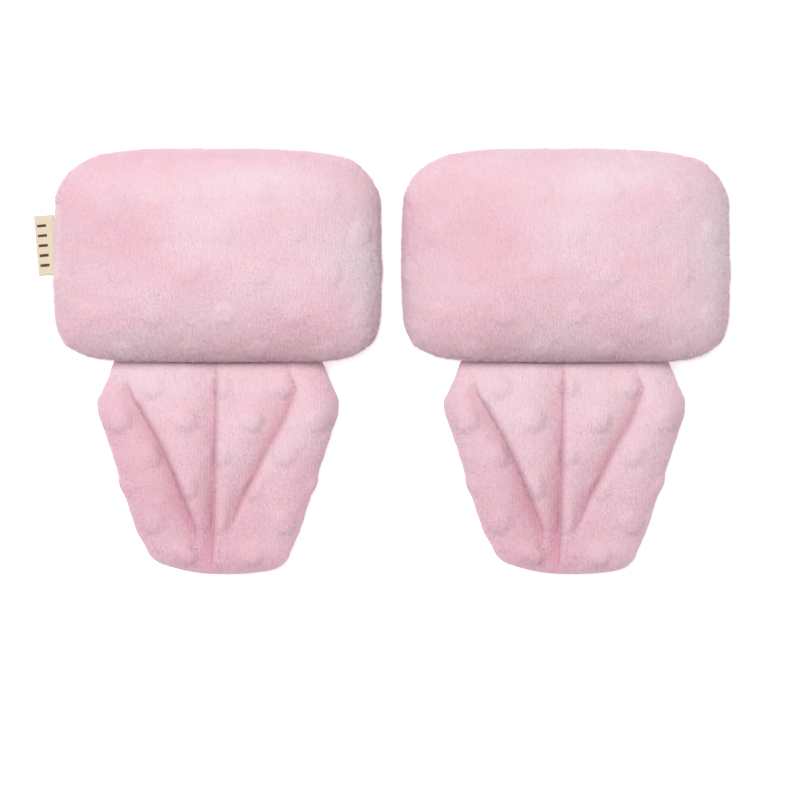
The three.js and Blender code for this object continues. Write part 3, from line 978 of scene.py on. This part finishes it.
# ---- Repeated small things, by geometry nodes ----
def geometry_tree(name, inputs):
    """A geometry node tree whose inputs are named as in a dictionary of values, and its input sockets."""
    tree = bpy.data.node_groups.new(name, "GeometryNodeTree")
    tree.interface.new_socket("Geometry", in_out="INPUT", socket_type="NodeSocketGeometry")
    for label, value in inputs.items():
        kind = "NodeSocketMaterial" if isinstance(value, bpy.types.Material) else "NodeSocketFloat"
        tree.interface.new_socket(label, in_out="INPUT", socket_type=kind)
    tree.interface.new_socket("Geometry", in_out="OUTPUT", socket_type="NodeSocketGeometry")
    return tree, tree.nodes.new("NodeGroupInput").outputs


def random_vector(tree, middle, spread, seed):
    """A vector for each point, evenly spread about a middle."""
    low, high = ([m + sign * s for m, s in zip(middle, spread)] for sign in (-1, 1))
    node = add_node(tree, "FunctionNodeRandomValue", data_type="FLOAT_VECTOR", Seed=seed)
    node.inputs["Min"].default_value = low
    node.inputs["Max"].default_value = high
    return node.outputs[0]


def run_tree(piece, tree, inputs, points, shape, rotation):
    """Ends a tree in copies of a shape on points, made real and painted, runs it and keeps the plain mesh."""
    copies = add_node(tree, "GeometryNodeInstanceOnPoints", Points=points, Instance=shape, Rotation=rotation)
    real = add_node(tree, "GeometryNodeRealizeInstances", Geometry=copies.outputs[0])
    smooth = add_node(tree, "GeometryNodeSetShadeSmooth", Geometry=real.outputs[0])
    given = next(node for node in tree.nodes if node.bl_idname == "NodeGroupInput").outputs
    paint = add_node(tree, "GeometryNodeSetMaterial", Geometry=smooth.outputs[0], Material=given["Material"])
    tree.links.new(paint.outputs[0], tree.nodes.new("NodeGroupOutput").inputs[0])
    modifier = piece.modifiers.new("make", "NODES")
    modifier.node_group = tree
    sockets = {item.name: item.identifier for item in tree.interface.items_tree if item.in_out == "INPUT"}
    for label, value in inputs.items():
        modifier[sockets[label]] = value
    return apply_modifiers(piece)


def stitch_row(name, points, length, gap, thickness, material, closed=False):
    """A row of thread stitches along a line of points in metres, each a small flattened capsule."""
    count = len(points)
    edges = [(i, i + 1) for i in range(count - 1)] + ([(count - 1, 0)] if closed else [])
    piece = make_object(name, points, [], material, edges=edges)
    inputs = {"Spacing": (length + gap) * MM, "Stitch": length * MM, "Thickness": thickness * MM,
              "Material": material}
    tree, given = geometry_tree("stitches", inputs)
    curve = add_node(tree, "GeometryNodeMeshToCurve", Mesh=given["Geometry"])
    dots = add_node(tree, "GeometryNodeCurveToPoints", mode="LENGTH", Curve=curve.outputs[0],
                    Length=given["Spacing"])
    capsule = add_node(tree, "GeometryNodeMeshUVSphere", Segments=6, Rings=5, Radius=0.5)
    size = add_node(tree, "ShaderNodeCombineXYZ", X=given["Thickness"], Y=given["Thickness"],
                    Z=given["Stitch"])
    shape = add_node(tree, "GeometryNodeTransform", Geometry=capsule.outputs[0], Scale=size.outputs[0])
    return run_tree(piece, tree, inputs, dots.outputs["Points"], shape.outputs[0], dots.outputs["Rotation"])


def scatter(name, points, shape_nodes, inputs, seed, turn, tilt):
    """Copies of one small shape on a set of points in metres, each turned and tilted at random."""
    piece = make_object(name, points, [], inputs["Material"])
    tree, given = geometry_tree(name, inputs)
    shape = shape_nodes(tree, given)
    rotation = random_vector(tree, (0, 0, 0), (tilt, tilt, turn), seed)
    return run_tree(piece, tree, inputs, given["Geometry"], shape, rotation)


def bent_wire(ends):
    """A node maker: a thin tube along a quadratic curve given as its start, middle and end."""
    def build(tree, given):
        curve = add_node(tree, "GeometryNodeCurveQuadraticBezier", Resolution=5, **ends)
        circle = add_node(tree, "GeometryNodeCurvePrimitiveCircle", Resolution=4)
        tree.links.new(given["Wire"], circle.inputs["Radius"])
        tube = add_node(tree, "GeometryNodeCurveToMesh", Fill_Caps=True, Curve=curve.outputs[0],
                        Profile_Curve=circle.outputs[0])
        return tube.outputs[0]
    return build


def tape_grid(strip, spacing, z, seed):
    """Points in staggered rows over a tape, clear of its stitched margin."""
    half_across, half_along = strip.width / 2 - TAPE_MARGIN, strip.length / 2 - TAPE_MARGIN
    across = np.arange(-half_across, half_across, spacing)
    along = np.arange(-half_along, half_along, spacing)
    grid = np.stack(np.meshgrid(across, along), axis=2)
    grid[::2, :, 0] += spacing / 2
    rng = np.random.default_rng(seed)
    grid = grid.reshape(-1, 2) + rng.uniform(-0.12, 0.12, (grid.size // 2, 2)) * spacing
    return strip.at(grid[:, 0], grid[:, 1], z)


def make_closing_tapes(name):
    """Hook tape on the front panel, hooks down, and loop tape on the back panel, loops up, both sewn on."""
    hook_strip, loop_strip = Strip(f"{name}_cuff_hook_tape"), Strip(f"{name}_cuff_loop_tape")
    tapes = [
        ("hook", hook_strip, hook_strip.top - TAPE_BASE, HOOK_TAPE, f"{name}_front_panel"),
        ("loop", loop_strip, loop_strip.bottom, LOOP_TAPE, f"{name}_cuff"),
    ]
    hook_height = hook_strip.top - hook_strip.bottom - TAPE_BASE
    loop_height = loop_strip.top - loop_strip.bottom - TAPE_BASE
    for kind, strip, bottom, material, body in tapes:
        tape = make_tape(f"{name}_{kind}_tape", strip, bottom, material)
        fit_piece(tape, body, f"{name}_cuff_{kind}_tape")
        line = tape_outline(strip, STITCH_INSET)
        line = strip.at(line[:, 0], line[:, 1], bottom if kind == "hook" else bottom + TAPE_BASE)
        stitches = stitch_row(f"{name}_{kind}_tape_stitches", line, STITCH, STITCH_GAP, THREAD, PINK_THREAD,
                              closed=True)
        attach(stitches, body)
    hook = {"Start": (0, 0, 0), "Middle": (0, 0, -1.8 * hook_height * MM),
            "End": (0.5 * MM, 0, -0.45 * hook_height * MM)}
    roots = tape_grid(hook_strip, HOOK_SPACING, hook_strip.top - TAPE_BASE, 21)
    hooks = scatter(f"{name}_hooks", roots, bent_wire(hook),
                    {"Wire": HOOK_WIRE * MM, "Material": HOOK_NYLON}, 3, math.pi, 0.15)
    fit_piece(hooks, f"{name}_front_panel")
    loop = {"Start": (-0.45 * MM, 0, 0), "Middle": (0, 0.2 * MM, 1.9 * loop_height * MM),
            "End": (0.45 * MM, 0, 0)}
    roots = tape_grid(loop_strip, LOOP_SPACING, loop_strip.bottom + TAPE_BASE - 0.05, 22)
    loops = scatter(f"{name}_loops", roots, bent_wire(loop),
                    {"Wire": LOOP_WIRE * MM, "Material": PINK_THREAD}, 4, math.pi, 0.35)
    fit_piece(loops, f"{name}_cuff")


# ---- Cloth at a joint ----
TUCK_RUN = 2.6  # how far along a fold its drawn-in end reaches


def profile_sheet(name, start, end, profile, outward, thickness, steps, end_tuck=0.0):
    """A strip of plush swept from start to end in plan, its section given as (outward, z) points. Its two
    ends are drawn inwards by end_tuck."""
    ease = np.linspace(0, 1, steps)
    line = start + np.multiply.outer(ease, end - start)
    curve = np.array(profile)
    heights = np.linspace(0, len(curve) - 1, 4 * (len(curve) - 1) + 1)
    section = np.stack([np.interp(heights, range(len(curve)), curve[:, k]) for k in (0, 1)], axis=1)
    for _ in range(2):
        section[1:-1] = (section[:-2] + 2 * section[1:-1] + section[2:]) / 4
    length = np.linalg.norm(end - start)
    from_end = np.minimum(ease, 1 - ease)[:, None] * length
    tucked = section[None, :, 0] - end_tuck * np.exp(-(from_end / TUCK_RUN) ** 2)
    plan = line[:, None, :] + tucked[..., None] * outward
    z = np.broadcast_to(section[:, 1], plan.shape[:2])[..., None]
    surface = np.concatenate([plan, z], axis=2)
    surface[..., :2] += 0.15 * noise_at(surface, 5, 12)[..., None] * outward
    flat = np.stack(np.broadcast_arrays((ease * length)[:, None], section[None, :, 1]), axis=2)
    piece = make_object(name, surface.reshape(-1, 3) * MM, grid_faces(*surface.shape[:2]), PLUSH_CLOTH,
                        flat.reshape(-1, 2) * MM, np.zeros(surface[..., 0].size))
    finish_shell(piece, thickness, 0.0)
    return piece


def make_neck(name):
    """The strip that hangs from the pillow's lower seam to the top edge of the cuff's back panel."""
    low, high = box_of(f"{name}_neck_strip")
    seam = ORIGIN[name][1]
    section = [(-3.0, BACK_TOP - 1.2), (-1.8, BACK_TOP + 1.5), (-0.3, 12.0), (-0.6, 17.0),
               (-0.9, SEAM_HEIGHT - 0.5)]
    piece = profile_sheet(f"{name}_neck", np.array([high[0], seam]), np.array([low[0], seam]), section,
                          np.array([0.0, 1.0]), 0.9, 81)
    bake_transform(piece)
    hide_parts(f"{name}_neck_strip")


def make_side_fold(name):
    """The plush fold along the cuff's slanted side, where the cuff opens."""
    strip = Strip(f"{name}_cuff_side_fold")
    outward = strip.across if (strip.across[0] < 0) == (name == "left") else -strip.across
    section = [(-2.8, BACK_EDGE), (-1.0, BACK_EDGE + 1.5), (-0.3, HINGE_HEIGHT - 2.5), (-0.1, HINGE_HEIGHT),
               (-0.3, HINGE_HEIGHT + 2), (-1.2, FRONT_EDGE), (-2.8, FRONT_EDGE + 0.8)]
    start = strip.middle - strip.along * (strip.length / 2 - 4)
    end = strip.middle + strip.along * (strip.length / 2 - 1)
    if name == "left":
        start, end = end, start
    piece = profile_sheet(f"{name}_side_fold", start, end, section, outward, 0.9, 71, 1.6)
    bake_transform(piece)
    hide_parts(f"{name}_cuff_side_fold")


# ---- Side label ----
LABEL_CLOTH = 0.42
LABEL_TUCK = 2.4  # how far its open ends reach into the side seam
LABEL_REACH = 5.7  # and how far its fold stands out from its hinge line
MARK_BARS = 5
MARK_BAR = 3.2  # length of each bar


def make_label():
    """A ribbon folded in two, its ends sewn into the side seam, with a row of plain stitched bars on it."""
    hinge = joint_named("left_label_flip")
    along = np.array(hinge["axis"])
    outward = np.cross(along, [0, 0, 1])
    outward *= -np.sign(outward[0]) / np.linalg.norm(outward)
    root = np.array(hinge["pos_m"]) / MM
    corners = vertices_of("left_side_label") / MM - root
    reach, length = LABEL_REACH, 2 * np.abs(corners @ along).max()
    bend = corners[:, 2].max() - LABEL_CLOTH / 2
    fold = [(math.cos(turn), math.sin(turn)) for turn in np.linspace(math.pi / 2, -math.pi / 2, 9)]
    straight = np.linspace(-LABEL_TUCK, reach - bend - LABEL_CLOTH / 2, 9)
    path = [(r, bend) for r in straight[:-1]]
    path += [(straight[-1] + bend * c, bend * s) for c, s in fold]
    path += [(r, -bend) for r in straight[-2::-1]]
    path = np.array(path)
    steps = np.linspace(-0.5, 0.5, 33) * length
    ripple = 0.12 * np.sin(steps / length * 5)[:, None] * smooth_step(path[:, 0], 0, reach)
    surface = root + np.multiply.outer(steps, along)[:, None, :] + path[None, :, :1] * outward
    surface = surface + np.stack([0 * ripple, 0 * ripple, path[:, 1] + ripple], axis=2)
    run = np.concatenate([[0], np.hypot(*np.diff(path, axis=0).T).cumsum()])
    flat = np.stack(np.broadcast_arrays(steps[:, None], run[None]), axis=2)
    piece = make_object("left_label", surface.reshape(-1, 3) * MM, grid_faces(*surface.shape[:2])[:, ::-1],
                        LABEL_TAPE, flat.reshape(-1, 2) * MM)
    finish_shell(piece, LABEL_CLOTH, 0.0)
    fit_piece(piece, "left_label", "left_side_label")
    for number in range(MARK_BARS):
        place_along = (number / (MARK_BARS - 1) - 0.5) * 0.66 * length
        middle = root + place_along * along + outward * reach * 0.5 + [0, 0, bend + LABEL_CLOTH / 2]
        ends = [middle + outward * side * MARK_BAR / 2 for side in (-1, 1)]
        bar = stitch_row(f"left_label_bar_{number + 1}", np.linspace(ends[0], ends[1], 12) * MM, 0.5, -0.12,
                         1.3, BROWN_THREAD)
        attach(bar, "left_label")


# ---- Making the pair ----
make_camera()
make_studio()
puff_front, puff_back = stuff_pillow()
pillow_covers = {True: pillow_cover(True, puff_front), False: pillow_cover(False, puff_back)}
front_panel = pleated_top()
back_panel = flat_bottom()
for name in ("left", "right"):
    for front in (True, False):
        make_pillow_side(name, front, pillow_covers[front])
    make_pillow_wadding(name)
    make_cuff_cover(name, "front", front_panel, FRONT_HEM)
    make_cuff_cover(name, "back", back_panel, BACK_TOP)
    make_front_wadding(name, front_panel[0])
    make_back_wadding(name)
    make_lining(name, "front", f"{name}_front_panel")
    make_lining(name, "back", f"{name}_cuff")
    make_closing_tapes(name)
    make_neck(name)
    make_side_fold(name)
make_label()
